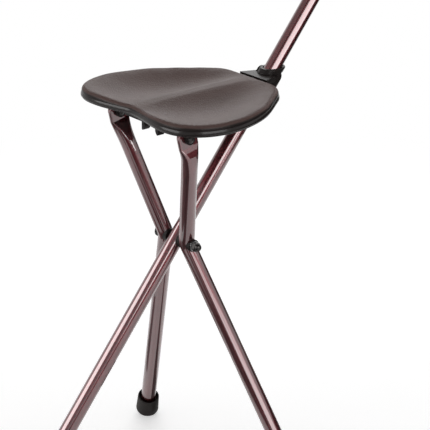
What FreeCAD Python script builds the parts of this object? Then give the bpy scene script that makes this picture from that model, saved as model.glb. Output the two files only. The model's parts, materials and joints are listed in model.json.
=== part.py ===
import FreeCAD, Part
import math
import os
from FreeCAD import Placement, Rotation, Vector

# Folding walking stick seat, opened out as a tripod stool.
#
# The shaft is the walking stick. It leans through the middle of the stool and is the third leg.
# Two bent legs cross it at one lateral bolt, the hub. Their tops are pressed flat and carry the
# seat, whose nose is hinged to a slider on the shaft. Folding swings the legs and the seat onto the shaft.
#
# Frame: X is lateral, with the symmetry plane at X = 0. +Y points to the seat's nose and the
# handle, -Y to the seat's wide tail, +Z up. The floor is Z = 0, and the origin lies below the
# middle of the bounding box. Pieces are drawn round the hub and moved there at the end.

# stance
hub_height = 315.0            # hub bolt above the floor
shaft_lean = 39.0             # shaft from the vertical, top towards the nose
leg_lean = 13.0               # side legs from the vertical, top towards the tail
upper_splay = 18.7            # upper part of a side leg, sideways, in the leg's own plane
lower_splay = 23.5            # lower part of a side leg, sideways, in the leg's own plane

# tubes
tube_diameter = 19.0
tube_wall = 1.5
shaft_above_hub = 452.0       # tube end inside the handle
leg_bend_radius = 16.0        # at the hub, on the tube's axis

# linkage
pivot_reach = 153.0           # hub bolt to seat pivot, along the leg's lean
pivot_half_span = 65.5        # seat pivots from the symmetry plane
pin_diameter = 6.0
pin_head_radius = 4.2
pin_head_height = 1.7
bolt_diameter = 6.0
turning_clearance = 0.08      # radial, pin in its moving hole
press_clearance = 0.02        # radial, pin in its own piece
running_gap = 0.3             # between faces that move past each other

# pressed leg tops and the lugs that hold them
flat_thickness = 5.0
flat_width = 27.0             # a pressed tube keeps its girth
flat_below_pin = 10.0         # where the flat is complete
press_start = 34.0            # below the knee, along the tube
press_sections = 9
press_growth = 2.6            # power of the pressing's growth; the crease below the flat
knee_run = 12.0               # from the knee to each end of its bend
lug_thickness = 4.0
lug_radius = 6.2
slot_relief = 2.4             # the carrier's slot is this much wider behind the lugs
swing_gap = 0.6               # round the pressed end, in the carrier's slot

# hub stack
spacer_thickness = 1.7        # at its thinnest, between the shaft and a leg
spacer_diameter = 17.0
spacer_wing = 5.0             # how far its saddle reaches round the leg
outer_washer_diameter = 15.0
outer_washer_thickness = 3.0  # on the nut's side
head_washer_thickness = 2.3   # on the bolt head's side
flat_washer_diameter = 12.5
flat_washer_thickness = 1.0
crush_sleeve_diameter = 11.0
nut_across_flats = 10.0
nut_hex_height = 6.0
nut_dome_radius = 4.6
bolt_head_diameter = 10.0
bolt_head_height = 2.6

# rubber feet
foot_diameter = 29.4
foot_mouth_diameter = 27.6
foot_length = 29.5
foot_edge_radius = 5.0
foot_floor_flat = 1.3         # depth of the flat that the foot stands on
foot_cup_diameter = 23.6
foot_cup_depth = 7.0
foot_sole = 6.5
foot_washer_thickness = 1.5
foot_lip_radius = 1.2

# seat shell
seat_rim_height = 13.5
stowed_shaft_gap = 2.2        # between the folded seat's carrier and the shaft
seat_half_width = 121.0
nose_short_of_hinge = 1.5592  # the nose ends this far behind the nose hinge
seat_tail = 72.0              # behind the hub bolt, at the lobes
tail_notch = 10.0             # how far the tail's middle sits ahead of the lobes
tail_dip = 3.5                # how far the rim drops there
skin = 3.0
skirt_wall = 3.2
rim_fillet = 5.5
rim_lower_fillet = 2.0
dish_depth = 10.0
ridge_half_width = 7.0
rim_land = 9.0                # flat land between dish and edge
surface_margin = 7.0          # the sitting surface runs this far past the edge
rib_thickness = 2.2
rib_pitch = 38.0
rib_rise = 0.6                # rib edges above the skirt's lower edge
screw_hole_depth = 3.5

# seat carrier, the black frame below the shell
carrier_thickness = 3.7
carrier_beam_half_width = 20.0
carrier_bar_half_depth = 18.5
carrier_bar_overhang = 11.0   # past each lug's middle
carrier_seat_gap = 0.2
carrier_screw_edge = 7.5      # plate behind the tail screws
window_places = (12.0, 52.0)  # the plate's two openings, along Y from the hub bolt
window_half_width = 9.0
window_half_length = 14.0
ear_thickness = 4.0
ear_radius = 8.0
screw_diameter = 4.0
screw_head_diameter = 7.4
screw_head_depth = 1.8
screw_length = 7.0
screw_inboard = 18.0          # side screws, inboard of the seat pivots
screw_half_pitch = 12.0       # the other four, from the symmetry plane
tail_screw_place = -50.5      # along Y from the hub bolt
nose_screw_place = 80.0
boss_diameter = 9.0

# stowage clip
clip_place = -33.0            # along Y from the hub bolt
clip_length = 9.0
clip_arm_thickness = 3.2
clip_arm_offset = 12.2        # inner face of an arm from the symmetry plane
clip_tip_below_axis = 6.7     # arm tip past the stowed shaft's axis
clip_base_thickness = 2.2
clip_bump = 2.2
clip_screw_diameter = 2.8
clip_screw_head = 5.6
clip_screw_head_depth = 1.4

# slider on the shaft
sleeve_diameter = 23.8
sleeve_start = 14.0           # above the nose hinge, along the shaft
liner_thickness = 0.8
collar_lip_diameter = 26.4
collar_lip_height = 6.5
collar_rise = 6.0             # level top of the lip above the seat's rim
cheek_thickness = 3.8
cheek_shaft_gap = 0.9
cheek_radius = 8.0
cheek_run = 24.0              # how far a cheek reaches up along the sleeve
cheek_top = 14.0              # above the nose hinge, where it makes room for the seat
web_half_width = 25.0         # at the seat's nose
web_thickness = 7.0
web_nose_gap = 1.2
hinge_head_diameter = 9.0
hinge_head_height = 1.9
stop_pin_diameter = 5.0
stop_pin_proud = 3.2

# handle, which the picture crops away
grip_front = 70.0
grip_rear = 46.0
grip_half_width = 12.5
grip_half_height = 14.5
grip_arch = 7.0
grip_above_tube_end = 12.0
neck_length = 40.0
neck_top_diameter = 27.0
neck_bottom_diameter = 24.0
neck_socket = 30.0
handle_collar_diameter = 26.0
handle_collar_height = 8.0
rivet_diameter = 5.0
rivet_below_end = 12.0        # below the tube's end
rivet_head_diameter = 8.0
rivet_head_height = 1.8

# worked out from the above
tube_radius = tube_diameter / 2
bore_radius = tube_radius - tube_wall
pin_radius = pin_diameter / 2
bolt_radius = bolt_diameter / 2
spacer_inner = tube_radius + running_gap
leg_centre = spacer_inner + spacer_thickness + tube_radius
half_bend = math.radians(upper_splay + lower_splay) / 2
leg_corner = leg_centre - leg_bend_radius * (1 / math.cos(half_bend) - 1)
fold_angle = shaft_lean + leg_lean
hinge_reach = 2 * pivot_reach * math.cos(math.radians(fold_angle))
lug_inner = flat_thickness / 2 + running_gap
lug_outer = lug_inner + lug_thickness
beyond = 1200.0               # longer than any piece, for cutters
seat_depth_room = 30.0        # deeper than the seat, for its cutters

hub = Vector(0, 0, 0)
lateral = Vector(1, 0, 0)
up = Vector(0, 0, 1)
shaft_up = Vector(0, math.sin(math.radians(shaft_lean)), math.cos(math.radians(shaft_lean)))
shaft_side = Vector(0, -math.cos(math.radians(shaft_lean)), math.sin(math.radians(shaft_lean)))
leg_up = Vector(0, -math.sin(math.radians(leg_lean)), math.cos(math.radians(leg_lean)))
pivot = leg_up * pivot_reach
hinge = shaft_up * hinge_reach
seat_nose = hinge.y - nose_short_of_hinge   # ahead of the hub bolt
carrier_bottom = pivot.z + tube_radius + stowed_shaft_gap
carrier_top = carrier_bottom + carrier_thickness
seat_bottom = carrier_top + carrier_seat_gap
seat_top_height = seat_bottom + seat_rim_height
collar_top_height = seat_top_height + collar_rise
clip_top = carrier_bottom + clip_base_thickness
clip_half_width = clip_arm_offset + clip_arm_thickness
clip_tip = hinge.z - clip_tip_below_axis
clip_screw_offsets = (-6.0, 6.0)


def cylinder(radius, start, direction, length):
    return Part.makeCylinder(radius, length, start, direction)


def through(radius, middle, direction):
    """Cutter for a hole right through whatever lies along a direction."""
    return cylinder(radius, middle - direction * (beyond / 2), direction, beyond)


def block(x0, x1, y0, y1, z0, z1):
    return Part.makeBox(x1 - x0, y1 - y0, z1 - z0, Vector(x0, y0, z0))


def slab(low, high):
    """Everything between two heights."""
    return block(-beyond, beyond, -beyond, beyond, low, high)


def polygon_face(points):
    return Part.Face(Part.makePolygon(points + [points[0]]))


def lean_leg(shape):
    """Turn a shape drawn in an upright leg plane to the legs' lean."""
    turned = shape.copy()
    turned.rotate(hub, lateral, leg_lean)
    return turned


def lean_shaft(shape):
    """Turn a shape drawn along Z to the shaft's lean."""
    turned = shape.copy()
    turned.rotate(hub, lateral, -shaft_lean)
    return turned


def mirrored(shape):
    return shape.mirror(hub, lateral)


def revolved(outline, start, direction):
    """Turn a closed half outline of (radius, height) edges about an axis."""
    shape = Part.Face(Part.Wire(outline)).revolve(hub, up, 360)
    shape.Placement = Placement(start, Rotation(up, direction))
    return shape


def bent_wire(corners, radii):
    """Straight runs joined by tangent arcs at the inner corners."""
    edges = []
    start = corners[0]
    for i in range(1, len(corners) - 1):
        into = (corners[i] - corners[i - 1]).normalize()
        out = (corners[i + 1] - corners[i]).normalize()
        turn = into.getAngle(out)
        tangent = radii[i - 1] * math.tan(turn / 2)
        first = corners[i] - into * tangent
        last = corners[i] + out * tangent
        inward = (out - into).normalize()
        middle = corners[i] + inward * (radii[i - 1] * (1 / math.cos(turn / 2) - 1))
        edges.append(Part.makeLine(start, first))
        edges.append(Part.Arc(first, middle, last).toShape())
        start = last
    edges.append(Part.makeLine(start, corners[-1]))
    return Part.Wire(edges)


def pipe(path, radius):
    start = path.Edges[0].valueAt(path.Edges[0].FirstParameter)
    along = path.Edges[0].tangentAt(path.Edges[0].FirstParameter)
    ring = Part.Wire(Part.makeCircle(radius, start, along))
    return path.makePipeShell([ring], True, False)


def foot_centre_height(tilt):
    """Height of the sole's centre when the rounded sole is cut flat at the floor."""
    edge_run = foot_diameter / 2 - foot_edge_radius
    return (edge_run * math.sin(tilt) + foot_edge_radius * (1 - math.cos(tilt))
            - foot_floor_flat)


# side legs, drawn in an upright plane with the hub at the origin
leg_tilt = math.acos(math.cos(math.radians(leg_lean)) * math.cos(math.radians(lower_splay)))
leg_below_hub = (hub_height - foot_centre_height(leg_tilt)) / math.cos(leg_tilt)
leg_down = Vector(math.sin(math.radians(lower_splay)), 0, -math.cos(math.radians(lower_splay)))
leg_apex = Vector(leg_corner, 0, 0)
knee = Vector(pivot_half_span, 0,
              (pivot_half_span - leg_corner) / math.tan(math.radians(upper_splay)))
upper_run = Vector(math.sin(math.radians(upper_splay)), 0, math.cos(math.radians(upper_splay)))
flat_start = pivot_reach - flat_below_pin - knee.z
leg_sole = leg_apex + leg_down * leg_below_hub

# shaft foot
shaft_tilt = math.radians(shaft_lean)
shaft_below_hub = (hub_height - foot_centre_height(shaft_tilt)) / math.cos(shaft_tilt)
tube_stand_off = foot_sole + foot_washer_thickness


def leg_path():
    """Axis of a side leg from its foot, round the bend at the hub, to where the pressing starts."""
    return bent_wire([leg_sole - leg_down * tube_stand_off, leg_apex,
                      knee - upper_run * press_start], [leg_bend_radius])


def rounded_rectangle(half_x, half_y, corner, centre):
    """Closed wire of four sides and four corner arcs in a level plane."""
    edges = []
    square = half_x - corner, half_y - corner
    for quarter in range(4):
        angle = quarter * 90.0
        sx = 1 if quarter in (0, 3) else -1
        sy = 1 if quarter in (0, 1) else -1
        middle = centre + Vector(sx * square[0], sy * square[1], 0)
        arc = Part.makeCircle(corner, middle, up, angle, angle + 90)
        nx = 1 if quarter in (3, 2) else -1
        following = {0: (-1, 1), 1: (-1, -1), 2: (1, -1), 3: (1, 1)}[quarter]
        turn = math.radians(angle + 90)
        spoke = Vector(math.cos(turn), math.sin(turn), 0) * corner
        here = middle + spoke
        there = centre + Vector(following[0] * square[0], following[1] * square[1], 0) + spoke
        edges.append(arc)
        edges.append(Part.makeLine(here, there))
    return Part.Wire(edges)


def leg_top_place(along):
    """A place on the axis of the leg's top, measured along it from the knee, and the tilt there."""
    if abs(along) >= knee_run:
        return (knee + upper_run * along, upper_splay) if along < 0 else (knee + up * along, 0.0)
    share = (along + knee_run) / (2 * knee_run)
    before, after = knee - upper_run * knee_run, knee + up * knee_run
    place = before * (1 - share) ** 2 + knee * (2 * share * (1 - share)) + after * share ** 2
    return place, upper_splay * (1 - share)


def pressed_section(share, inset):
    """Outline of the leg a share of the way up its pressing; it keeps the tube's girth."""
    pressed = share ** press_growth
    half_x = tube_radius + pressed * (flat_thickness / 2 - tube_radius) - inset
    half_y = tube_radius + pressed * (flat_width / 2 - tube_radius) - inset
    wire = rounded_rectangle(half_x, half_y, half_x - 0.05, hub)
    place, tilt = leg_top_place(-press_start + share * (press_start + flat_start))
    wire.rotate(hub, Vector(0, 1, 0), tilt)
    wire.translate(place)
    return wire


def pressed_end(inset):
    """The leg's top, pressed flat across the pivot; inset makes its inside."""
    sections = [pressed_section(step / (press_sections - 1), inset)
                for step in range(press_sections)]
    flat = Part.Face(sections[-1]).extrude(up * (flat_below_pin + flat_width))
    return Part.makeLoft(sections, True, False).fuse(flat)


def end_cutter():
    """What is cut away above the pivot to leave a round end."""
    reach = flat_width
    above = block(pivot_half_span - reach, pivot_half_span + reach, -reach, reach,
                  pivot_reach, pivot_reach + 2 * reach)
    return above.cut(through(flat_width / 2, up * pivot_reach, lateral))


def leg_tube():
    path = leg_path()
    tube = pipe(path, tube_radius).fuse(pressed_end(0))
    tube = tube.cut(pipe(path, bore_radius).fuse(pressed_end(tube_wall))).cut(end_cutter())
    tube = tube.cut(through(bolt_radius + turning_clearance, hub, lateral))
    pin_hole = through(pin_radius + press_clearance, up * pivot_reach, lateral)
    return lean_leg(tube.cut(pin_hole).removeSplitter())


def leg_sleeve():
    """Plastic crush sleeve inside the leg, round the hub bolt."""
    sleeve = cylinder(crush_sleeve_diameter / 2, Vector(leg_centre - tube_radius, 0, 0),
                      lateral, tube_diameter)
    sleeve = sleeve.common(pipe(leg_path(), bore_radius - 0.05))
    return lean_leg(sleeve.cut(through(bolt_radius + turning_clearance, hub, lateral)))


def hub_spacer():
    """Black saddle between the shaft and a leg: flat to the shaft, hollow to the leg."""
    length = spacer_thickness + spacer_wing
    saddle = cylinder(spacer_diameter / 2, lateral * spacer_inner, lateral, length)
    saddle = saddle.cut(pipe(leg_path(), tube_radius + 0.02))
    return lean_leg(saddle.cut(through(bolt_radius + turning_clearance, hub, lateral)))


def outer_washer(thickness):
    """Black saddle washer on the outside of a leg."""
    outside = leg_centre + tube_radius
    saddle = cylinder(outer_washer_diameter / 2, lateral * (outside - 3),
                      lateral, 3 + thickness)
    saddle = saddle.cut(pipe(leg_path(), tube_radius + 0.02))
    saddle = saddle.cut(through(bolt_radius + turning_clearance, hub, lateral))
    return lean_leg(max(saddle.Solids, key=lambda s: s.CenterOfMass.x))


def rivet(length, radius, head_radius, head_height, start, direction):
    """Shank with a low domed head on each end; start is under the first head."""
    shank = cylinder(radius, start, direction, length)
    for end, way in ((start, direction * -1), (start + direction * length, direction)):
        rise = head_height
        ball = (head_radius ** 2 + rise ** 2) / (2 * rise)
        dome = Part.makeSphere(ball, end + way * (rise - ball))
        dome = dome.common(cylinder(head_radius + 0.5, end, way, rise))
        shank = shank.fuse(dome)
    return shank.removeSplitter()


def pivot_pin():
    reach = lug_outer + running_gap
    start = Vector(pivot_half_span - reach, 0, pivot_reach)
    return lean_leg(rivet(2 * reach, pin_radius, pin_head_radius, pin_head_height, start, lateral))


def foot_outline():
    """Half outline of a rubber foot, from the sole's centre round to the tube's seat."""
    outer, mouth = foot_diameter / 2, foot_mouth_diameter / 2
    cup, seat = foot_cup_diameter / 2, tube_radius + press_clearance
    edge, lip = foot_edge_radius, foot_lip_radius
    floor = foot_length - foot_cup_depth
    slant = math.sqrt(0.5)

    def at(r, h):
        return Vector(r, 0, h)
    corner = Part.Arc(at(outer - edge, 0), at(outer - edge * (1 - slant), edge * (1 - slant)),
                      at(outer, edge)).toShape()
    rim = Part.Arc(at(mouth, foot_length - lip),
                   at(mouth - lip * (1 - slant), foot_length - lip * (1 - slant)),
                   at(mouth - lip, foot_length)).toShape()
    sides = [[at(0, foot_sole), at(0, 0), at(outer - edge, 0)],
             [at(outer, edge), at(mouth, foot_length - lip)],
             [at(mouth - lip, foot_length), at(cup + 0.6, foot_length), at(cup, floor + 1),
              at(cup - 1, floor), at(seat, floor), at(seat, foot_sole), at(0, foot_sole)]]
    edges = [corner, rim]
    for run in sides:
        edges += [Part.makeLine(a, b) for a, b in zip(run, run[1:])]
    return Part.__sortEdges__(edges)


def rubber_foot(sole, axis):
    """Foot on a tube that leans along axis, cut flat where it meets the floor."""
    foot = revolved(foot_outline(), sole, axis)
    reach = 2 * foot_diameter
    below = block(sole.x - reach, sole.x + reach, sole.y - reach, sole.y + reach,
                  -hub_height - reach, -hub_height)
    return foot.cut(below)


def foot_washer(sole, axis):
    """Steel disc in the foot that keeps the tube from cutting through the sole."""
    return cylinder(tube_radius - 0.2, sole + axis * foot_sole, axis, foot_washer_thickness)


def shaft_tube():
    start = tube_stand_off - shaft_below_hub
    tube = cylinder(tube_radius, up * start, up, shaft_above_hub - start)
    tube = tube.cut(cylinder(bore_radius, up * (start - 1), up, shaft_above_hub - start + 2))
    tube = tube.cut(through(bolt_radius + press_clearance, hub, lateral))
    tube = lean_shaft(tube)
    hole = through(stop_pin_diameter / 2 + press_clearance, stop_point, shaft_side)
    cross = through(rivet_diameter / 2 + press_clearance, rivet_point, lateral)
    return tube.cut(hole).cut(cross)


def shaft_sleeve():
    """Crush sleeve inside the shaft, round the hub bolt."""
    sleeve = cylinder(crush_sleeve_diameter / 2, lateral * -tube_radius, lateral, tube_diameter)
    sleeve = sleeve.common(through(bore_radius - 0.05, hub, up))
    return lean_shaft(sleeve.cut(through(bolt_radius + press_clearance, hub, lateral)))


nut_face = leg_centre + tube_radius + outer_washer_thickness + running_gap / 3
head_face = leg_centre + tube_radius + head_washer_thickness + running_gap / 3


def hub_washers():
    rings = []
    for face, way in ((nut_face, lateral), (head_face, lateral * -1)):
        ring = cylinder(flat_washer_diameter / 2, way * face, way, flat_washer_thickness)
        rings.append(ring.cut(through(bolt_radius + press_clearance, hub, lateral)))
    return Part.makeCompound(rings)


def hub_bolt():
    seat = head_face + flat_washer_thickness
    nut_seat = nut_face + flat_washer_thickness
    shank = cylinder(bolt_radius, lateral * -seat, lateral, seat + nut_seat + nut_hex_height + 1)
    ball = ((bolt_head_diameter / 2) ** 2 + bolt_head_height ** 2) / (2 * bolt_head_height)
    head = Part.makeSphere(ball, lateral * (ball - bolt_head_height - seat))
    head = head.common(cylinder(bolt_head_diameter, lateral * -seat, lateral * -1,
                                bolt_head_height))
    return shank.fuse(head).removeSplitter()


def hub_nut():
    """Domed cap nut: a hexagon with a dome, and a blind hole for the bolt's end."""
    seat = nut_face + flat_washer_thickness
    corner = nut_across_flats / math.sqrt(3)
    points = [Vector(seat, corner * math.cos(math.radians(60 * i)),
                     corner * math.sin(math.radians(60 * i))) for i in range(6)]
    nut = polygon_face(points).extrude(lateral * nut_hex_height)
    dome = Part.makeSphere(nut_dome_radius, lateral * (seat + nut_hex_height))
    chamfer = Part.makeCone(corner - 0.2, corner + 3, 3.2, lateral * (seat + nut_hex_height),
                            lateral * -1)
    nut = nut.common(chamfer.fuse(cylinder(corner + 3, lateral * (seat - 1), lateral,
                                           nut_hex_height - 1.5)))
    return nut.fuse(dome).cut(cylinder(bolt_radius + press_clearance, lateral * (seat - 1),
                                       lateral, nut_hex_height + 2.2))


def side_outline():
    """Right half of the seat's plan, from the tail's middle to the nose's middle."""
    width, nose, tail = seat_half_width, seat_nose, -seat_tail
    return [Vector(0, tail + tail_notch, 0), Vector(0.25 * width, tail + 0.5 * tail_notch, 0),
            Vector(0.5 * width, tail, 0), Vector(0.76 * width, tail + 5, 0),
            Vector(0.94 * width, tail + 27, 0), Vector(width, tail + 62, 0),
            Vector(0.95 * width, nose - 95, 0), Vector(0.82 * width, nose - 60, 0),
            Vector(0.64 * width, nose - 31, 0), Vector(0.49 * width, nose - 10, 0),
            Vector(0.38 * width, nose - 2, 0), Vector(0.2 * width, nose, 0)]


def closed_curve(points):
    curve = Part.BSplineCurve()
    curve.interpolate(Points=points, PeriodicFlag=True)
    return curve


def seat_outline(inset=0.0):
    """The seat's plan as one smooth closed wire, or the same line moved inwards."""
    right = side_outline()
    points = right + [Vector(-p.x, p.y, 0) for p in reversed(right[1:])]
    curve = closed_curve(points)
    if inset:
        inward = [curve.tangent(curve.parameter(p))[0].cross(up) * -inset for p in points]
        curve = closed_curve([p + way for p, way in zip(points, inward)])
    return Part.Wire(curve.toShape())


def half_width_at(y):
    points = side_outline()[2:]
    for low, high in zip(points, points[1:]):
        if low.y <= y <= high.y:
            share = (y - low.y) / (high.y - low.y)
            return low.x + share * (high.x - low.x)
    return points[0].x if y < points[0].y else points[-1].x


def seat_height(x, y):
    """Height of the sitting surface: two thigh dishes beside a ridge, and a dipped tail."""
    run = (y + seat_tail) / (seat_nose + seat_tail)
    edge = half_width_at(y) - rim_land
    across = (abs(x) - ridge_half_width) / max(edge - ridge_half_width, 1.0)
    dish = 0.0
    if 0 < across < 1 and 0.04 < run < 0.94:
        along = math.sin(math.pi * (run - 0.04) / 0.9)
        dish = dish_depth * math.sin(math.pi * across ** 0.85) ** 1.2 * along ** 0.7
    low = tail_dip * math.exp(-(x / 30.0) ** 2) * max(0.0, 1 - run / 0.35) ** 1.5
    return seat_top_height - dish - low


def under_surface(drop):
    """Solid below the sitting surface lowered by drop."""
    reach = seat_half_width + surface_margin
    half = [reach * n / 128 for n in (5, 10, 16, 24, 36, 50, 66, 82, 98, 112, 128)]
    across = [-x for x in reversed(half)] + [0.0] + half
    steps = 15
    start, stop = -seat_tail - surface_margin - 1, seat_nose + surface_margin + 1
    along = [start + (stop - start) * i / steps for i in range(steps + 1)]
    grid = [[Vector(x, y, seat_height(x, y) - drop) for y in along] for x in across]
    surface = Part.BSplineSurface()
    surface.interpolate(grid)
    return surface.toShape().extrude(up * -2 * seat_depth_room)


def seat_prism(wire, bottom):
    base = Part.Face(wire)
    base.translate(Vector(0, 0, bottom))
    return base.extrude(up * 2 * seat_depth_room)


def screw_places():
    wide = pivot_half_span - screw_inboard
    pairs = ((wide, pivot.y), (screw_half_pitch, tail_screw_place),
             (screw_half_pitch, nose_screw_place))
    return [Vector(side * x, y, 0) for x, y in pairs for side in (-1, 1)]


def rib_lattice():
    """Stiffening ribs both ways below the skin, and the bosses for the carrier's screws."""
    reach = 2 * seat_half_width
    low, high = seat_bottom + rib_rise, seat_bottom + 20
    half = rib_thickness / 2
    along = [block(x - half, x + half, -reach, reach, low, high)
             for x in (i * rib_pitch for i in range(-2, 3))]
    across = [block(-reach, reach, y - half, y + half, low, high)
              for y in (pivot.y + i * rib_pitch for i in range(4))]
    bosses = [cylinder(boss_diameter / 2, place + up * seat_bottom, up, 20)
              for place in screw_places()]
    holes = [cylinder(screw_diameter / 2 + press_clearance, place + up * (seat_bottom - 1),
                      up, screw_hole_depth + 1) for place in screw_places()]
    ribs = along[0].fuse(along[1:] + across + bosses)
    return ribs.cut(Part.makeCompound(holes))


def seat_shell():
    body = seat_prism(seat_outline(), seat_bottom).common(under_surface(0))
    cavity = seat_prism(seat_outline(skirt_wall), seat_bottom - seat_depth_room)
    cavity = cavity.common(under_surface(skin))
    shell = body.cut(cavity.cut(rib_lattice()))
    for radius, low, high in ((rim_fillet, seat_bottom + 3, seat_top_height + 5),
                              (rim_lower_fillet, seat_bottom - 1, seat_bottom + 0.1)):
        round_edge = [e for e in shell.Edges
                      if low < e.BoundBox.ZMin and e.BoundBox.ZMax < high
                      and e.BoundBox.XMax > seat_half_width - 1]
        shell = shell.makeFillet(radius, round_edge)
    return shell


def strap(start, end, radius, x0, x1):
    """Plate with two round ends in a plane across X."""
    way = (end - start).normalize()
    side = way.cross(lateral) * radius
    flat = polygon_face([start + side, end + side, end - side, start - side])
    flat.translate(lateral * x0)
    plate = flat.extrude(lateral * (x1 - x0))
    for point in (start, end):
        plate = plate.fuse(cylinder(radius, Vector(x0, point.y, point.z), lateral, x1 - x0))
    return plate


def seat_lugs():
    """The two lugs of the carrier that straddle the right leg's pressed end."""
    top = Vector(0, pivot.y, carrier_bottom + 1)
    lugs = []
    for x0, x1 in ((-lug_outer, -lug_inner), (lug_inner, lug_outer)):
        lugs.append(strap(Vector(0, pivot.y, pivot.z), top, lug_radius,
                          pivot_half_span + x0, pivot_half_span + x1))
    return lugs[0].fuse(lugs[1]).common(slab(0, carrier_top))


def swing_slot():
    """Slot of the carrier in which the right leg's pressed end swings as the seat folds."""
    reach = flat_width / 2 + swing_gap
    low, high = carrier_bottom - 1, carrier_top + 1
    narrow = block(pivot_half_span - lug_inner, pivot_half_span + lug_inner,
                   pivot.y - reach, pivot.y + reach, low, high)
    wide = lug_inner + slot_relief
    behind = block(pivot_half_span - wide, pivot_half_span + wide, pivot.y - 2 * reach,
                   pivot.y - lug_radius - swing_gap, low, high)
    return narrow.fuse(behind)


def nose_ear():
    """Right ear of the carrier, from the plate's front down to the nose hinge."""
    inner = tube_radius + cheek_shaft_gap + cheek_thickness + running_gap
    root = Vector(0, seat_nose - 20, carrier_bottom + 2)
    ear = strap(Vector(0, hinge.y, hinge.z), root, ear_radius, inner, inner + ear_thickness)
    return ear.common(block(0, beyond, 0, beyond, 0, carrier_top))


def seat_carrier():
    back = pivot.y - carrier_bar_half_depth
    plate = block(-carrier_beam_half_width, carrier_beam_half_width,
                  tail_screw_place - carrier_screw_edge, seat_nose - 8,
                  carrier_bottom, carrier_top)
    half_bar = pivot_half_span + carrier_bar_overhang
    bar = block(-half_bar, half_bar, back, pivot.y + carrier_bar_half_depth,
                carrier_bottom, carrier_top)
    corners = [e for e in bar.Edges if abs(e.CenterOfMass.x) > half_bar - 1
               and abs(e.CenterOfMass.z - (carrier_bottom + carrier_top) / 2) < 0.1]
    bar = bar.makeFillet(6, corners)
    frame = plate.fuse(bar)
    for y in window_places:
        window = block(-window_half_width, window_half_width, y - window_half_length,
                       y + window_half_length, carrier_bottom - 1, carrier_top + 1)
        upright = [e for e in window.Edges if abs(e.CenterOfMass.z - (carrier_bottom
                   + carrier_top) / 2) < 0.1]
        frame = frame.cut(window.makeFillet(4, upright))
    for slot in (swing_slot(), mirrored(swing_slot())):
        frame = frame.cut(slot)
    for piece in (seat_lugs(), nose_ear()):
        frame = frame.fuse([piece, mirrored(piece)])
    pins = [through(pin_radius + turning_clearance, pivot, lateral),
            through(pin_radius + turning_clearance, hinge, lateral)]
    pins.append(block(-clip_half_width - 0.1, clip_half_width + 0.1,
                      clip_place - clip_length / 2 - 0.1, clip_place + clip_length / 2 + 0.1,
                      carrier_bottom - 1, clip_top))
    for place in screw_places():
        low = place + up * carrier_bottom
        pins.append(cylinder(screw_diameter / 2 + 0.1, low - up, up, carrier_thickness + 2))
        pins.append(Part.makeCone(screw_head_diameter / 2 + 0.1, screw_diameter / 2,
                                  screw_head_depth, low, up))
    for x in clip_screw_offsets:
        pins.append(cylinder(clip_screw_diameter / 2 + press_clearance,
                             Vector(x, clip_place, carrier_bottom - 1), up,
                             carrier_thickness + 2))
    return frame.cut(Part.makeCompound(pins)).removeSplitter()


def countersunk_screws():
    screws = []
    for place in screw_places():
        low = place + up * carrier_bottom
        screw = cylinder(screw_diameter / 2, low, up, screw_length)
        head = Part.makeCone(screw_head_diameter / 2, screw_diameter / 2, screw_head_depth,
                             low, up)
        cross = block(place.x - 2.2, place.x + 2.2, place.y - 0.5, place.y + 0.5,
                      carrier_bottom - 1, carrier_bottom + 0.9)
        screws.append(screw.fuse(head).cut(cross))
    return Part.makeCompound(screws)


def stowage_clip():
    """Spring clip below the seat's tail that holds the shaft when the seat is folded."""
    y0, y1 = clip_place - clip_length / 2, clip_place + clip_length / 2
    outer = clip_half_width
    clip = block(-outer, outer, y0, y1, clip_top - clip_base_thickness, clip_top)
    arm = block(clip_arm_offset, outer, y0, y1, clip_tip, clip_top)
    tip = [e for e in arm.Edges if abs(e.CenterOfMass.z - clip_tip) < 0.1
           and abs(e.CenterOfMass.y - clip_place) < 1]
    arm = arm.makeFillet(1.4, tip)
    ball = 7.0
    bump = cylinder(ball, Vector(clip_arm_offset - clip_bump + ball, y0, hinge.z - 0.5),
                    Vector(0, 1, 0), clip_length)
    bump = bump.common(block(0, clip_arm_offset + 1, y0, y1, clip_tip + 1, clip_top - 3))
    arm = arm.fuse(bump)
    clip = clip.fuse([arm, mirrored(arm)])
    for x in clip_screw_offsets:
        low = Vector(x, clip_place, carrier_bottom)
        clip = clip.cut(cylinder(clip_screw_diameter / 2 + 0.1, low - up, up, 10))
        clip = clip.cut(Part.makeCone(clip_screw_head / 2 + 0.1, clip_screw_diameter / 2,
                                      clip_screw_head_depth, low, up))
    return clip.removeSplitter()


def clip_screws():
    screws = []
    for x in clip_screw_offsets:
        low = Vector(x, clip_place, carrier_bottom)
        shank = cylinder(clip_screw_diameter / 2, low, up, carrier_thickness)
        screws.append(shank.fuse(Part.makeCone(clip_screw_head / 2, clip_screw_diameter / 2,
                                               clip_screw_head_depth, low, up)))
    return Part.makeCompound(screws)


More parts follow.
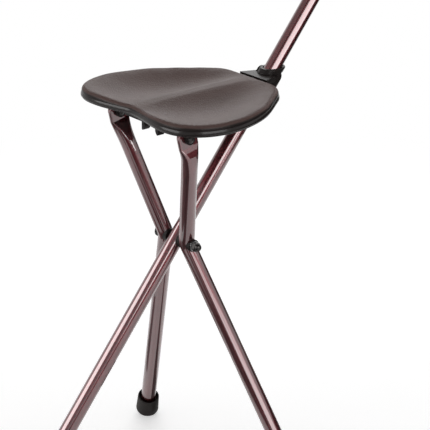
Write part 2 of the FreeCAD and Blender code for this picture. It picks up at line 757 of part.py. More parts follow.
def slider_bracket():
    """Sleeve with a level collar lip, a web to the seat's nose and two cheeks for its hinge."""
    bore = tube_radius + running_gap + liner_thickness + press_clearance
    far = shaft_up * (hinge_reach + sleeve_start)
    sleeve = cylinder(sleeve_diameter / 2, far, shaft_up, beyond)
    lip = cylinder(collar_lip_diameter / 2, far, shaft_up, beyond)
    lip = lip.common(slab(collar_top_height - collar_lip_height, collar_top_height))
    sides = [e for e in lip.Edges if e.Length > collar_lip_diameter]
    lip = lip.makeFillet(1.2, sides)
    front = seat_nose + web_nose_gap
    web_top = seat_top_height
    behind = collar_top_height * math.tan(math.radians(shaft_lean))
    narrow = sleeve_diameter / 2
    plan = polygon_face([Vector(-web_half_width, front, web_top - web_thickness),
                         Vector(web_half_width, front, web_top - web_thickness),
                         Vector(narrow, behind, web_top - web_thickness),
                         Vector(-narrow, behind, web_top - web_thickness)])
    web = plan.extrude(up * web_thickness)
    inner = tube_radius + cheek_shaft_gap
    start = Vector(0, hinge.y, hinge.z)
    cheek = strap(start, start + shaft_up * (sleeve_start + cheek_run), cheek_radius,
                  inner, inner + cheek_thickness)
    gusset = polygon_face([Vector(inner, hinge.y + 2, hinge.z), Vector(inner, front, web_top - 4),
                           Vector(inner, behind, web_top - 4)]).extrude(lateral * cheek_thickness)
    cheek = cheek.fuse(gusset)
    bracket = sleeve.common(slab(0, collar_top_height)).fuse([lip, web, cheek, mirrored(cheek)])
    clear = through(bore, far, shaft_up)
    seat_room = slab(hinge.z + cheek_top, beyond).common(
        block(-beyond, beyond, -beyond, front, 0, beyond))
    pin = through(pin_radius + press_clearance, hinge, lateral)
    return bracket.cut(clear).cut(pin).cut(seat_room).removeSplitter()


def slider_liner():
    """Slippery bush in the sleeve, cut level with the collar."""
    start = shaft_up * (hinge_reach + sleeve_start)
    ring = cylinder(tube_radius + running_gap + liner_thickness, start, shaft_up, beyond)
    ring = ring.cut(through(tube_radius + running_gap, start, shaft_up))
    return ring.common(slab(0, collar_top_height - 1))


def nose_hinge_pins():
    inner = tube_radius + cheek_shaft_gap
    length = cheek_thickness + running_gap + ear_thickness + 0.2
    start = Vector(inner, hinge.y, hinge.z)
    pin = cylinder(pin_radius, start, lateral, length)
    head = cylinder(hinge_head_diameter / 2, start + lateral * length, lateral,
                    hinge_head_height)
    edge = [e for e in head.Edges if abs(e.CenterOfMass.x - inner - length
                                         - hinge_head_height) < 0.01]
    pin = pin.fuse(head.makeFillet(0.8, edge))
    return Part.makeCompound([pin, mirrored(pin)])


stop_reach = hinge_reach + sleeve_start - running_gap - stop_pin_diameter / 2
stop_point = shaft_up * stop_reach
rivet_point = shaft_up * (shaft_above_hub - rivet_below_end)


def stop_pin():
    """Rivet across the shaft that the opened slider rests on."""
    start = stop_point + shaft_side * (tube_radius - 1)
    length = tube_diameter - 1 + stop_pin_proud
    return cylinder(stop_pin_diameter / 2, start, shaft_side * -1, length)


def handle_grip():
    """Moulded grip across the shaft's end, with a neck that takes the tube."""
    stations = 10
    rings = []
    for i in range(stations + 1):
        turn = math.pi * i / stations
        share = -math.cos(turn)
        place = grip_front * share if share > 0 else grip_rear * share
        swell = max(math.sin(turn), 0.12) ** 0.55
        height = shaft_above_hub + grip_above_tube_end - grip_arch * share * share
        ring = Part.Ellipse(hub, grip_half_height * swell, grip_half_width * swell)
        wire = Part.Wire(ring.toShape())
        wire.Placement = Placement(Vector(0, place, height),
                                   Rotation(Vector(0, 0, 1), Vector(0, 1, 0)).multiply(
                                       Rotation(Vector(0, 0, 1), 90)))
        rings.append(wire)
    grip = Part.makeLoft(rings, True, False)
    top = shaft_above_hub + grip_above_tube_end
    low = shaft_above_hub - neck_socket
    neck = Part.makeCone(neck_bottom_diameter / 2, neck_top_diameter / 2, neck_length,
                         Vector(0, 0, low), up)
    grip = grip.fuse(neck.common(slab(low, top)))
    socket = cylinder(tube_radius + press_clearance, Vector(0, 0, low - 1), up, neck_socket + 1)
    cross = through(rivet_diameter / 2 + press_clearance,
                    up * (shaft_above_hub - rivet_below_end), lateral)
    return lean_shaft(grip.cut(socket).cut(cross))


def handle_collar():
    """Ring that closes the gap between the neck and the tube."""
    low = shaft_above_hub - neck_socket - handle_collar_height
    ring = cylinder(handle_collar_diameter / 2, up * low, up, handle_collar_height)
    edges = [e for e in ring.Edges if abs(e.CenterOfMass.z - low) < 0.01]
    ring = ring.makeFillet(2.0, edges)
    return lean_shaft(ring.cut(cylinder(tube_radius + press_clearance, up * (low - 1), up,
                                        handle_collar_height + 2)))


def handle_rivet():
    width = neck_bottom_diameter / 2 + 1.0
    return rivet(2 * width, rivet_diameter / 2, rivet_head_diameter / 2, rivet_head_height,
                 rivet_point - lateral * width, lateral)


def all_pieces():
    leg_axis = lean_leg(Part.makeLine(leg_sole, leg_apex))
    sole = leg_axis.Vertexes[0].Point
    axis = (leg_axis.Vertexes[1].Point - sole).normalize()
    shaft_sole = shaft_up * -shaft_below_hub
    pieces = {
        "main_shaft_tube": shaft_tube(),
        "shaft_foot": rubber_foot(shaft_sole, shaft_up),
        "shaft_foot_washer": foot_washer(shaft_sole, shaft_up),
        "shaft_hub_sleeve": shaft_sleeve(),
        "handle_grip": handle_grip(),
        "handle_collar": handle_collar(),
        "handle_rivet": handle_rivet(),
        "hub_bolt": hub_bolt(),
        "hub_nut": hub_nut(),
        "hub_washers": hub_washers(),
        "stop_pin": stop_pin(),
        "seat_shell": seat_shell(),
        "seat_carrier": seat_carrier(),
        "seat_screws": countersunk_screws(),
        "stowage_clip": stowage_clip(),
        "clip_screws": clip_screws(),
        "slider_bracket": slider_bracket(),
        "slider_liner": slider_liner(),
        "nose_hinge_pins": nose_hinge_pins(),
    }
    right = {"leg_tube": leg_tube(), "foot": rubber_foot(sole, axis),
             "foot_washer": foot_washer(sole, axis), "hub_spacer": hub_spacer(),
             "outer_washer": outer_washer(outer_washer_thickness), "hub_sleeve": leg_sleeve(),
             "pivot_pin": pivot_pin()}
    for name, shape in right.items():
        pieces["right_" + name] = shape
        pieces["left_" + name] = mirrored(shape)
    pieces["left_outer_washer"] = mirrored(outer_washer(head_washer_thickness))
    return pieces


def centred(pieces):
    """Put the floor at Z = 0 and the middle of the bounding box at Y = 0."""
    box = Part.makeCompound(list(pieces.values())).optimalBoundingBox(False, False)
    shift = Vector(0, -(box.YMin + box.YMax) / 2, hub_height)
    for shape in pieces.values():
        shape.translate(shift)
    return shift


pieces = all_pieces()
shift = centred(pieces)
os.makedirs("parts", exist_ok=True)
for name, shape in pieces.items():
    shape.exportStep("parts/" + name + ".step")
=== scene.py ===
import json
import math

import bpy
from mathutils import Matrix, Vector
from mathutils.bvhtree import BVHTree


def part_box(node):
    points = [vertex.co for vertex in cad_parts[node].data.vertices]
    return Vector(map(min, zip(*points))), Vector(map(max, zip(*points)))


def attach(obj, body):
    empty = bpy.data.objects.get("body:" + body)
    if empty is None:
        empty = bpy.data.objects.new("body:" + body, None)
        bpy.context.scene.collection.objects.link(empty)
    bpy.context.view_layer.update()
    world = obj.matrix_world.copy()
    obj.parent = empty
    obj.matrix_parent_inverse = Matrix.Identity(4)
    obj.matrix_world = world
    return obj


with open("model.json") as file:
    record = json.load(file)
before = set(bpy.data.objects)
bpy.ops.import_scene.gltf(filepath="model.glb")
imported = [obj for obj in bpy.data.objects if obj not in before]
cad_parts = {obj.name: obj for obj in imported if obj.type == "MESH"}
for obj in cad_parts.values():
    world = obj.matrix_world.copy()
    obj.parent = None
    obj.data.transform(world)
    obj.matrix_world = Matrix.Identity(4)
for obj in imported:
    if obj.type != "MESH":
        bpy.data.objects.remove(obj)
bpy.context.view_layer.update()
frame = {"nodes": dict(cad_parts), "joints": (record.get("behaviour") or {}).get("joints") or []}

bl_info = {
    "name": "Walking stick seat",
    "version": (1, 0, 0),
    "blender": (4, 5, 0),
    "location": "View3D > Sidebar > Stick seat",
    "description": "Dresses a folding stick seat: anodised tubes, moulded seat and rubber feet",
    "category": "Object",
}

JOINTS = {joint["name"]: joint for joint in frame["joints"]}
HUB = Vector(JOINTS["left_leg_fold"]["pos_m"])
MM = 0.001

# noise patterns: repeats per metre, octaves and how rough each octave is
TUBE_PATCHES = (38.0, 5.0, 0.6)
TUBE_FINE = (420.0, 3.0, 0.5)
MOULDED_CLOUD = (24.0, 5.0, 0.6)
MOULDED_OCTAVES = (4.0, 0.65)
SEAT_FINE = (2600.0, 3.0, 0.6)
STEEL_CLOUD = (180.0, 4.0, 0.6)
STEEL_FINE = (900.0, 3.0, 0.5)

# how far a colour's tone strays either way, as a share of it
TUBE_TONE = 0.08
MOULDED_TONE = 0.12
SEAT_TONE = 0.08
SEAT_EDGE_TONE = 0.15
STEEL_TONE = 0.2

# lowest and highest share of a metal's roughness, and how far a moulding's strays either way
TUBE_BLUR = (0.85, 1.2)
STEEL_BLUR = (0.8, 1.25)
MOULDED_BLUR = 0.07
SEAT_BLUR = 0.05

# bump strength, with its depth where that doesn't depend on the grain
TUBE_BUMP = (0.02, 0.2 * MM)
STEEL_BUMP = (0.05, 0.1 * MM)
MOULDED_BUMP = 0.35
PEBBLE_BUMP = 0.7
PEBBLE_RELIEF = 0.35              # of a pebble's width

FILM_ROUGHNESS = 0.015            # of the tubes' clear film
SEAT_SPECULAR = 0.12
SEAT_TOP_FACING = (0.35, 0.6)     # upward part of the normal, from the seat's side to its top
SEAT_LEVEL_FACING = (0.8, 0.97)   # from the top's rounded edge to its level middle

# moulded finishes: grains per metre, their depth and the specular level
LIP_MOULDING = (1600.0, 0.02 * MM, 0.25)
BLACK_MOULDING = (1300.0, 0.08 * MM, 0.14)
RUBBER_MOULDING = (1500.0, 0.12 * MM, 0.25)
BLACK_ROUGHNESS = 0.42
RUBBER_ROUGHNESS = 0.62

# steel finishes: colour and roughness
DARK_STEEL = ((0.05, 0.047, 0.046, 1.0), 0.28)
PLATED_STEEL = ((0.55, 0.55, 0.55, 1.0), 0.3)

LIP_START = 2.0 * MM     # above the seat's lowest edge, clear of its rounding
LIP_PLACES = 240         # round the seat
LIP_STEPS = 8            # up the lip
LIP_LEAN = 0.55          # below 1 puts the lip's fullest part low


class NodeSheet:
    """A material's node tree with short calls for the nodes that the finishes share."""

    def __init__(self, name):
        self.material = bpy.data.materials.new(name)
        self.material.use_nodes = True
        self.tree = self.material.node_tree
        self.shader = self.tree.nodes["Principled BSDF"]

    def node(self, kind, **values):
        """New node, with each value put in the socket or the setting of that name."""
        made = self.tree.nodes.new(kind)
        for key, value in values.items():
            if key in made.inputs:
                made.inputs[key].default_value = value
            else:
                setattr(made, key, value)
        return made

    def link(self, source, target):
        """Join an output to an input."""
        self.tree.links.new(source, target)

    def place(self):
        """Object coordinates, in metres; they stay with the surface at every pose."""
        return self.node("ShaderNodeTexCoord").outputs["Object"]

    def noise(self, scale, detail, rough):
        """Factor that varies over the surface."""
        grain = self.node("ShaderNodeTexNoise", Scale=scale, Detail=detail, Roughness=rough)
        self.link(self.place(), grain.inputs["Vector"])
        return grain.outputs["Fac"]

    def ramp(self, source, low, high, start=0.35, stop=0.65):
        """Colour or grey that runs from low to high while the source runs from start to stop."""
        made = self.node("ShaderNodeValToRGB")
        made.color_ramp.elements[0].position = start
        made.color_ramp.elements[1].position = stop
        for element, value in zip(made.color_ramp.elements, (low, high)):
            element.color = value if hasattr(value, "__len__") else grey(value)
        self.link(source, made.inputs["Fac"])
        return made.outputs["Color"]

    def tone(self, source, colour, spread):
        """A colour that strays a share either way."""
        return self.ramp(source, shade(colour, 1.0 - spread), shade(colour, 1.0 + spread))

    def into(self, socket, source):
        """Drive one of the shader's sockets."""
        self.link(source, self.shader.inputs[socket])

    def blend(self, factor, first, second):
        """Mix of two colours, each given as a colour or as a socket."""
        made = self.node("ShaderNodeMix", data_type="RGBA")
        self.link(factor, made.inputs["Factor"])
        for socket, value in ((made.inputs[6], first), (made.inputs[7], second)):
            if hasattr(value, "__len__"):
                socket.default_value = value
            else:
                self.link(value, socket)
        return made.outputs[2]

    def bump(self, height, strength, distance):
        """Relief of the shader's surface, as deep as distance at full strength."""
        made = self.node("ShaderNodeBump", Strength=strength, Distance=distance)
        self.link(height, made.inputs["Height"])
        self.into("Normal", made.outputs["Normal"])


def grey(level):
    """A colour without hue."""
    return (level, level, level, 1.0)


def shade(colour, share):
    """A colour made darker or paler by a share."""
    return tuple(min(1.0, part * share) for part in colour[:3]) + (1.0,)


def tube_finish(look):
    """Dyed and sealed aluminium: a red-brown metal under a clear film that mirrors the studio."""
    sheet = NodeSheet("bronze_tube")
    sheet.shader.inputs["Metallic"].default_value = 1.0
    sheet.shader.inputs["Coat Weight"].default_value = 1.0
    sheet.shader.inputs["Coat IOR"].default_value = look.film_index
    sheet.shader.inputs["Coat Roughness"].default_value = FILM_ROUGHNESS
    sheet.into("Base Color", sheet.tone(sheet.noise(*TUBE_PATCHES), look.tube_colour, TUBE_TONE))
    fine = sheet.noise(*TUBE_FINE)
    low, high = (look.tube_roughness * share for share in TUBE_BLUR)
    sheet.into("Roughness", sheet.ramp(fine, low, high))
    sheet.bump(fine, *TUBE_BUMP)
    return sheet.material


def moulded_finish(name, colour, roughness, grain, depth, specular):
    """Moulded plastic or rubber: a fine grain and a cloudy tone."""
    sheet = NodeSheet(name)
    sheet.shader.inputs["Specular IOR Level"].default_value = specular
    sheet.into("Base Color", sheet.tone(sheet.noise(*MOULDED_CLOUD), colour, MOULDED_TONE))
    fine = sheet.noise(grain, *MOULDED_OCTAVES)
    sheet.into("Roughness",
               sheet.ramp(fine, roughness - MOULDED_BLUR, roughness + MOULDED_BLUR))
    sheet.bump(fine, MOULDED_BUMP, depth)
    return sheet.material


def seat_finish(look):
    """Seat moulding with a fine pebbled top, a smooth edge and underside whose darker colour is
    partly their own tone and partly painted shade, and a painted highlight along the top's rounded
    edge.
    """
    sheet = NodeSheet("seat_plastic")
    sheet.shader.inputs["Specular IOR Level"].default_value = SEAT_SPECULAR
    facing = sheet.node("ShaderNodeTexCoord")
    parts = sheet.node("ShaderNodeSeparateXYZ")
    sheet.link(facing.outputs["Normal"], parts.inputs["Vector"])
    top = sheet.ramp(parts.outputs["Z"], 0.0, 1.0, *SEAT_TOP_FACING)
    level = sheet.ramp(parts.outputs["Z"], 0.0, 1.0, *SEAT_LEVEL_FACING)
    cloud = sheet.noise(*MOULDED_CLOUD)
    upper = sheet.tone(cloud, look.seat_colour, SEAT_TONE)
    # Painted highlight: the seat colour turns paler on the top's rounded edge, standing in for
    # light that edge doesn't catch.
    upper = sheet.blend(level, shade(look.seat_colour, look.top_edge_highlight), upper)
    # Partly painted shade: the side and underside colour is the smooth edge's own darker tone and
    # also shade where they face away from the light.
    edge = sheet.tone(cloud, look.seat_edge_and_shade_colour, SEAT_EDGE_TONE)
    sheet.into("Base Color", sheet.blend(top, edge, upper))
    pebble = sheet.node("ShaderNodeTexVoronoi", feature="SMOOTH_F1", Scale=1.0 / look.seat_grain)
    sheet.link(sheet.place(), pebble.inputs["Vector"])
    fine = sheet.noise(*SEAT_FINE)
    rough = sheet.ramp(fine, look.seat_roughness - SEAT_BLUR, look.seat_roughness + SEAT_BLUR)
    sheet.into("Roughness", sheet.blend(top, grey(look.edge_roughness), rough))
    relief = sheet.node("ShaderNodeMath", operation="MULTIPLY")
    sheet.link(pebble.outputs["Distance"], relief.inputs[0])
    sheet.link(top, relief.inputs[1])
    sheet.bump(relief.outputs[0], PEBBLE_BUMP, look.seat_grain * PEBBLE_RELIEF)
    return sheet.material


def steel_finish(name, colour, roughness):
    """Steel with a cloudy tone and a faint, fine unevenness."""
    sheet = NodeSheet(name)
    sheet.shader.inputs["Metallic"].default_value = 1.0
    sheet.into("Base Color", sheet.tone(sheet.noise(*STEEL_CLOUD), colour, STEEL_TONE))
    fine = sheet.noise(*STEEL_FINE)
    low, high = (roughness * share for share in STEEL_BLUR)
    sheet.into("Roughness", sheet.ramp(fine, low, high))
    sheet.bump(fine, *STEEL_BUMP)
    return sheet.material


def dress(nodes, material):
    """Give CAD nodes one material."""
    for name in nodes:
        mesh = frame["nodes"][name].data
        mesh.materials.clear()
        mesh.materials.append(material)


def both(*names):
    """The left and the right node of each name."""
    return [side + name for name in names for side in ("left_", "right_")]


def side_places(node, height, count):
    """Places round the outside of a node at one height, in order."""
    mesh = frame["nodes"][node].data
    walls = BVHTree.FromPolygons([v.co for v in mesh.vertices],
                                 [face.vertices for face in mesh.polygons])
    low, high = (Vector(corner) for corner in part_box(node))
    middle = (low + high) / 2
    middle.z = height
    reach = (high - low).length
    places = []
    for step in range(count):
        angle = 2 * math.pi * step / count
        way = Vector((math.cos(angle), math.sin(angle), 0.0))
        place = walls.ray_cast(middle + way * reach, -way)[0]
        if place is None:
            raise RuntimeError(f"{node} has no side at this height")
        places.append(place)
    return places


def swept_band(name, places, profile):
    """Closed band that carries a profile of (outward, upward) points round a level ring."""
    points, faces = [], []
    count, ring = len(places), len(profile)
    for i, place in enumerate(places):
        along = places[(i + 1) % count] - places[i - 1]
        out = Vector((along.y, -along.x, 0.0)).normalized()
        points += [place + out * outward + Vector((0.0, 0.0, rise)) for outward, rise in profile]
    for i in range(count):
        here, there = i * ring, (i + 1) % count * ring
        for j in range(ring):
            k = (j + 1) % ring
            faces.append((here + j, there + j, there + k, here + k))
    mesh = bpy.data.meshes.new(name)
    mesh.from_pydata(points, [], faces)
    mesh.shade_smooth()
    band = bpy.data.objects.new(name, mesh)
    bpy.context.scene.collection.objects.link(band)
    return band


def colour_setting(name, description, default):
    """Colour that a user may change."""
    return bpy.props.FloatVectorProperty(name=name, description=description, subtype="COLOR",
                                         size=4, min=0.0, max=1.0, default=default + (1.0,))


def share_setting(name, description, default):
    """Share from 0 to 1 that a user may change."""
    return bpy.props.FloatProperty(name=name, description=description, subtype="FACTOR",
                                   min=0.0, max=1.0, default=default)


class StickSeatLook(bpy.types.PropertyGroup):
    """Colours and finishes that a user may change."""
    tube_colour: colour_setting("Tube colour", "Dye in the metal of the shaft and the legs",
                                (0.115, 0.027, 0.031))
    tube_roughness: share_setting("Tube roughness", "Blur of the metal below its film", 0.4)
    film_index: bpy.props.FloatProperty(
        name="Film index", description="Refractive index of the tubes' clear film",
        min=1.0, max=3.0, default=2.1)
    seat_colour: colour_setting("Seat colour", "Pebbled top of the seat", (0.102, 0.062, 0.055))
    # Partly the smooth edge's own darker tone, partly painted shade on the seat's side and
    # underside; the moulded lip takes it too.
    seat_edge_and_shade_colour: colour_setting("Seat edge", "Smooth edge of the seat",
                                     (0.028, 0.02, 0.019))
    seat_roughness: share_setting("Seat roughness", "Blur of the seat's top", 0.5)
    # Painted highlight: the share by which the seat's rounded top edge is made paler, in place of
    # light that edge doesn't catch.
    top_edge_highlight: bpy.props.FloatProperty(
        name="Edge highlight", description="How much paler the seat's highlighted top edge is",
        min=1.0, max=3.0, default=1.4)
    edge_roughness: share_setting("Edge roughness", "Blur of the seat's smooth edge", 0.3)
    seat_grain: bpy.props.FloatProperty(
        name="Seat grain", description="Size of the pebbles on the seat's top",
        unit="LENGTH", min=0.0002, max=0.005, default=0.0016, precision=5)
    lip_roughness: share_setting("Lip roughness", "Blur of the seat's moulded lip", 0.2)
    lip_rise: bpy.props.FloatProperty(
        name="Lip height", description="Height of the moulded lip round the seat's lower edge",
        unit="LENGTH", min=0.002, max=0.008, default=0.0056, precision=4)
    lip_reach: bpy.props.FloatProperty(
        name="Lip reach", description="How far the lip stands out from the seat's side",
        unit="LENGTH", min=0.0002, max=0.002, default=0.0012, precision=4)
    black_colour: colour_setting("Black plastic", "Slider, carrier, clip and handle",
                                 (0.02, 0.015, 0.014))
    rubber_colour: colour_setting("Rubber", "Feet", (0.02, 0.015, 0.014))


class STICKSEAT_OT_tubes(bpy.types.Operator):
    """Finish the shaft and the two legs"""
    bl_idname = "stickseat.tubes"
    bl_label = "Tubes"

    def execute(self, context):
        look = context.scene.stick_seat_look
        dress(["main_shaft_tube"] + both("leg_tube"), tube_finish(look))
        return {"FINISHED"}


class STICKSEAT_OT_seat(bpy.types.Operator):
    """Finish the moulded seat"""
    bl_idname = "stickseat.seat"
    bl_label = "Seat"

    def execute(self, context):
        look = context.scene.stick_seat_look
        dress(["seat_shell"], seat_finish(look))
        return {"FINISHED"}


class STICKSEAT_OT_seat_lip(bpy.types.Operator):
    """Moulded lip round the lower edge of the seat, which catches the light"""
    bl_idname = "stickseat.seat_lip"
    bl_label = "Seat lip"

    def execute(self, context):
        look = context.scene.stick_seat_look
        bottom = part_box("seat_shell")[0][2] + LIP_START
        sunk = -look.lip_reach / 2   # the band's back lies inside the seat's side
        profile = [(sunk, 0.0)]
        for step in range(LIP_STEPS + 1):
            share = step / LIP_STEPS
            bulge = math.sin(math.pi * share ** LIP_LEAN)
            profile.append((look.lip_reach * bulge, look.lip_rise * share))
        profile.append((sunk, look.lip_rise))
        lip = swept_band("seat_lip", side_places("seat_shell", bottom, LIP_PLACES), profile)
        # The lip takes the seat edge colour, partly its own tone and partly painted shade.
        lip.data.materials.append(moulded_finish(
            "seat_lip", look.seat_edge_and_shade_colour, look.lip_roughness, *LIP_MOULDING))
        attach(lip, "seat")
        return {"FINISHED"}


class STICKSEAT_OT_black_parts(bpy.types.Operator):
    """Finish the black mouldings"""
    bl_idname = "stickseat.black_parts"
    bl_label = "Black mouldings"

    def execute(self, context):
        look = context.scene.stick_seat_look
        dress(["seat_carrier", "stowage_clip", "slider_bracket", "handle_grip",
               "handle_collar", "shaft_hub_sleeve", "slider_liner"]
              + both("hub_spacer", "outer_washer", "hub_sleeve"),
              moulded_finish("black_nylon", look.black_colour, BLACK_ROUGHNESS, *BLACK_MOULDING))
        return {"FINISHED"}


class STICKSEAT_OT_feet(bpy.types.Operator):
    """Finish the three rubber feet"""
    bl_idname = "stickseat.feet"
    bl_label = "Feet"

    def execute(self, context):
        look = context.scene.stick_seat_look
        dress(["shaft_foot"] + both("foot"),
              moulded_finish("foot_rubber", look.rubber_colour, RUBBER_ROUGHNESS, *RUBBER_MOULDING))
        return {"FINISHED"}


class STICKSEAT_OT_hardware(bpy.types.Operator):
    """Finish the bolt, pins, screws and washers"""
    bl_idname = "stickseat.hardware"
    bl_label = "Hardware"

    def execute(self, context):
        dress(["hub_bolt", "hub_nut", "stop_pin", "handle_rivet", "nose_hinge_pins",
               "seat_screws", "clip_screws"] + both("pivot_pin"),
              steel_finish("dark_steel", *DARK_STEEL))
        dress(["hub_washers", "shaft_foot_washer"] + both("foot_washer"),
              steel_finish("plated_steel", *PLATED_STEEL))
        return {"FINISHED"}


def outward(azimuth, elevation):
    """Direction from the object towards a place round it."""
    a, e = math.radians(azimuth), math.radians(elevation)
    return Vector((math.sin(a) * math.cos(e), -math.cos(a) * math.cos(e), math.sin(e)))


def aimed(thing, place, aim):
    """Put a lamp or a board at a place with its face towards another."""
    thing.location = place
    thing.rotation_euler = (Vector(aim) - Vector(place)).to_track_quat("-Z", "Y").to_euler()


CAMERA_AZIMUTH = 50.95
CAMERA_ELEVATION = 20.98
CAMERA_DISTANCE = 2.228
CAMERA_TARGET = HUB + Vector((0.07303, 0.0, 0.05079))
CAMERA_LENS = 161.8           # mm
CAMERA_SENSOR = 36.0          # mm
CAMERA_CLIP = (0.05, 60.0)

WORLD_FILL = 0.3              # for matt surfaces
WORLD_MIRRORED = (0.9, 0.3)   # for reflections, at the horizon and overhead
MIRRORED_FALL = (0.3, 0.55)   # heights on the sky between which it falls
FLOOR_SIZE = 16.0
FLOOR_PALENESS = 0.86
FLOOR_ROUGHNESS = 0.9
FLOOR_LIFT = 0.5              # added where the camera or a reflection sees the floor
FLOOR_FADE = (0.5, 1.3)       # from the middle, where the floor turns plain white there
CARD_RISE = 0.004             # of the cards that lie on the floor

# name, place, what it faces, width and height, brightness of its face, lights matt surfaces
SOFT_BOXES = (
    ("right_box", (1.5, -0.12, 1.34), (0.0, -0.12, 1.34), (1.4, 1.14), 3.9, False),
    ("mid_right_box", (1.5, 0.48, 0.61), (0.0, 0.48, 0.61), (0.8, 0.32), 4.6, False),
    ("low_right_box", (1.5, -0.42, 0.3), (0.0, -0.42, 0.3), (1.45, 0.6), 2.5, False),
    ("left_box", (-0.45, -1.35, 1.05), (0.0, -0.1, 0.4), (1.35, 0.8), 4.8, False),
    ("back_box", (-1.5, 1.25, 1.35), (0.0, 0.0, 0.48), (1.8, 1.2), 2.4, True),
    ("top_box", (-0.2, 0.2, 2.3), (0.0, 0.0, 0.45), (1.6, 1.6), 0.95, True),
)
# upright flags: name, place, what it faces, width and height, and how pale it is
FLAGS = (
    ("back_flag", (0.95, 1.15, 0.2), (0.0, 0.0, 0.2), (1.35, 0.4), 0.03),
    ("rear_flag", (0.0, 1.5, 0.28), (0.0, 0.0, 0.28), (1.3, 0.56), 0.03),
    ("side_flag", (1.6, -0.85, 0.53), (0.0, -0.85, 0.53), (1.9, 0.28), 0.06),
    ("front_flag", (1.6, -1.7, 0.2), (0.0, -1.7, 0.2), (1.4, 0.4), 0.06),
    ("gap_flag", (0.52, -0.71, 1.52), (0.0, 0.13, 0.53), (0.3, 0.5), 0.05),
)
# cards on the floor: name, place, width and depth, and how pale it is
FLOOR_CARDS = (
    ("front_floor_flag", (0.72, -0.95), (1.0, 1.0), 0.12),
    # Painted shadow: these three dark cards lie where the stool's shadow falls on the floor, and
    # only reflections see them.
    ("painted_shadow_flag", (0.2, -0.43), (0.5, 0.46), 0.2),
    ("left_painted_shadow_flag", (-0.2, -0.42), (0.4, 0.24), 0.22),
    ("under_painted_shadow_flag", (-0.04, 0.055), (0.2, 0.06), 0.2),
    ("far_foot_flag", (-0.24, -0.1), (0.14, 0.12), 0.3),
    ("rear_floor_flag", (0.65, 1.2), (1.5, 0.9), 0.05),
)
# boxes that reach one tube alone, because in the others they would be a stray streak
BOX_FOR_TUBE = {"mid_right_box": "main_shaft_tube", "low_right_box": "right_leg_tube"}


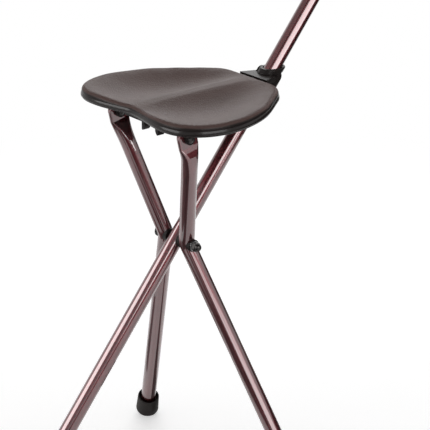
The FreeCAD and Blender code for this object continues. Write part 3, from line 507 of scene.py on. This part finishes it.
class STICKSEAT_OT_stage(bpy.types.Operator):
    """Camera, floor, soft boxes and flags"""
    bl_idname = "stickseat.stage"
    bl_label = "Stage"

    def execute(self, context):
        scene = context.scene
        self.camera(scene)
        scene.view_settings.view_transform = "Standard"
        self.floor()
        self.world(scene)
        for name, place, aim, size, level, lights in SOFT_BOXES:
            lamp = self.soft_box(scene, name, place, aim, size, level)
            lamp.visible_diffuse = lights
            if name in BOX_FOR_TUBE:
                self.only_for(lamp, BOX_FOR_TUBE[name])
        for name, place, aim, size, paleness in FLAGS:
            self.flag(name, place, aim, size, paleness)
        for name, place, size, paleness in FLOOR_CARDS:
            self.flag(name, place + (CARD_RISE,), place + (1.0,), size, paleness)
        return {"FINISHED"}

    def camera(self, scene):
        """Camera at the photograph's angle and distance."""
        camera = bpy.data.objects.new("camera", bpy.data.cameras.new("camera"))
        scene.collection.objects.link(camera)
        scene.camera = camera
        back = outward(CAMERA_AZIMUTH, CAMERA_ELEVATION)
        camera.location = CAMERA_TARGET + back * CAMERA_DISTANCE
        camera.rotation_mode = "QUATERNION"
        camera.rotation_quaternion = (-back).to_track_quat("-Z", "Y")
        camera.data.sensor_width = CAMERA_SENSOR
        camera.data.lens = CAMERA_LENS
        camera.data.clip_start, camera.data.clip_end = CAMERA_CLIP

    def soft_box(self, scene, name, place, aim, size, level):
        """Lamp whose face is as bright as level, whatever its size."""
        data = bpy.data.lights.new(name, "AREA")
        data.shape = "RECTANGLE"
        data.size, data.size_y = size
        data.energy = level * math.pi * size[0] * size[1]
        lamp = bpy.data.objects.new(name, data)
        aimed(lamp, place, aim)
        lamp.visible_camera = False
        scene.collection.objects.link(lamp)
        return lamp

    def only_for(self, lamp, node):
        """Let a lamp reach one tube and nothing else."""
        reached = bpy.data.collections.new(lamp.name + "_reaches")
        reached.objects.link(frame["nodes"][node])
        lamp.light_linking.receiver_collection = reached

    def floor(self):
        """Pale floor that keeps the shadow near the object and is plain white further out."""
        bpy.ops.mesh.primitive_plane_add(size=FLOOR_SIZE, location=(0, 0, 0))
        floor = bpy.context.object
        floor.name = "floor"
        floor.data.materials.append(self.floor_finish())

    def floor_finish(self):
        """Matt floor, lifted and white far out where the camera or a reflection sees it."""
        sheet = self.matt("floor_white", grey(FLOOR_PALENESS), FLOOR_ROUGHNESS)
        rays = sheet.node("ShaderNodeLightPath")
        near = sheet.node("ShaderNodeAddShader")
        lift = sheet.node("ShaderNodeEmission", Strength=FLOOR_LIFT)
        white = sheet.node("ShaderNodeEmission", Strength=1.0)
        sheet.link(sheet.shader.outputs[0], near.inputs[0])
        sheet.link(lift.outputs[0], near.inputs[1])
        reach = sheet.node("ShaderNodeVectorMath", operation="LENGTH")
        sheet.link(sheet.place(), reach.inputs[0])
        share = sheet.node("ShaderNodeMapRange", interpolation_type="SMOOTHSTEP")
        share.inputs["From Min"].default_value, share.inputs["From Max"].default_value = FLOOR_FADE
        sheet.link(reach.outputs["Value"], share.inputs["Value"])
        shown = sheet.node("ShaderNodeMixShader")
        sheet.link(share.outputs["Result"], shown.inputs[0])
        sheet.link(near.outputs[0], shown.inputs[1])
        sheet.link(white.outputs[0], shown.inputs[2])
        seen = sheet.node("ShaderNodeMath", operation="MAXIMUM")
        sheet.link(rays.outputs["Is Camera Ray"], seen.inputs[0])
        sheet.link(rays.outputs["Is Glossy Ray"], seen.inputs[1])
        surface = sheet.node("ShaderNodeMixShader")
        sheet.link(seen.outputs[0], surface.inputs[0])
        sheet.link(sheet.shader.outputs[0], surface.inputs[1])
        sheet.link(shown.outputs[0], surface.inputs[2])
        sheet.link(surface.outputs[0], sheet.tree.nodes["Material Output"].inputs["Surface"])
        return sheet.material

    def matt(self, name, colour, roughness):
        """Sheet for a plain surface without gloss."""
        sheet = NodeSheet(name)
        sheet.shader.inputs["Base Color"].default_value = colour
        sheet.shader.inputs["Roughness"].default_value = roughness
        sheet.shader.inputs["Specular IOR Level"].default_value = 0.0
        return sheet

    def world(self, scene):
        """White for the camera, grey for reflections and a low even fill for matt surfaces."""
        world = bpy.data.worlds.new("studio")
        scene.world = world
        world.use_nodes = True
        tree = world.node_tree
        background = tree.nodes["Background"]
        rays = tree.nodes.new("ShaderNodeLightPath")
        mirrored = tree.nodes.new("ShaderNodeMapRange")
        mirrored.inputs["To Min"].default_value = WORLD_FILL
        where = tree.nodes.new("ShaderNodeTexCoord")
        height = tree.nodes.new("ShaderNodeSeparateXYZ")
        sky = tree.nodes.new("ShaderNodeMapRange")
        for socket, value in zip(("From Min", "From Max", "To Min", "To Max"),
                                 MIRRORED_FALL + WORLD_MIRRORED):
            sky.inputs[socket].default_value = value
        tree.links.new(where.outputs["Generated"], height.inputs["Vector"])
        tree.links.new(height.outputs["Z"], sky.inputs["Value"])
        tree.links.new(sky.outputs["Result"], mirrored.inputs["To Max"])
        tree.links.new(rays.outputs["Is Glossy Ray"], mirrored.inputs["Value"])
        strength = tree.nodes.new("ShaderNodeMapRange")
        strength.inputs["To Max"].default_value = 1.0
        tree.links.new(rays.outputs["Is Camera Ray"], strength.inputs["Value"])
        tree.links.new(mirrored.outputs["Result"], strength.inputs["To Min"])
        tree.links.new(strength.outputs["Result"], background.inputs["Strength"])
        background.inputs["Color"].default_value = (1.0, 1.0, 1.0, 1.0)

    def flag(self, name, place, aim, size, paleness):
        """Dark board that only reflections see."""
        bpy.ops.mesh.primitive_plane_add(size=1.0)
        board = bpy.context.object
        board.name = name
        board.scale = (size[0], size[1], 1.0)
        aimed(board, place, aim)
        board.data.materials.append(self.matt(name + "_card", grey(paleness), 1.0).material)
        board.visible_camera = False
        board.visible_shadow = False
        board.visible_diffuse = False


class STICKSEAT_PT_sidebar(bpy.types.Panel):
    """Sidebar list of the finishes and the steps"""
    bl_idname = "STICKSEAT_PT_sidebar"
    bl_label = "Stick seat"
    bl_space_type = "VIEW_3D"
    bl_region_type = "UI"
    bl_category = "Stick seat"

    def draw(self, context):
        look = context.scene.stick_seat_look
        for name in look.bl_rna.properties.keys():
            if name not in ("rna_type", "name"):
                self.layout.prop(look, name)
        for step in STEPS:
            self.layout.operator(step.bl_idname)


STEPS = (STICKSEAT_OT_stage, STICKSEAT_OT_tubes, STICKSEAT_OT_seat, STICKSEAT_OT_seat_lip,
         STICKSEAT_OT_black_parts, STICKSEAT_OT_feet, STICKSEAT_OT_hardware)
CLASSES = (StickSeatLook,) + STEPS + (STICKSEAT_PT_sidebar,)


def register():
    for kind in CLASSES:
        bpy.utils.register_class(kind)
    bpy.types.Scene.stick_seat_look = bpy.props.PointerProperty(type=StickSeatLook)


def unregister():
    del bpy.types.Scene.stick_seat_look
    for kind in reversed(CLASSES):
        bpy.utils.unregister_class(kind)


def main():
    register()
    bpy.ops.stickseat.stage()
    bpy.ops.stickseat.tubes()
    bpy.ops.stickseat.seat()
    bpy.ops.stickseat.seat_lip()
    bpy.ops.stickseat.black_parts()
    bpy.ops.stickseat.feet()
    bpy.ops.stickseat.hardware()


if __name__ == "__main__":
    main()
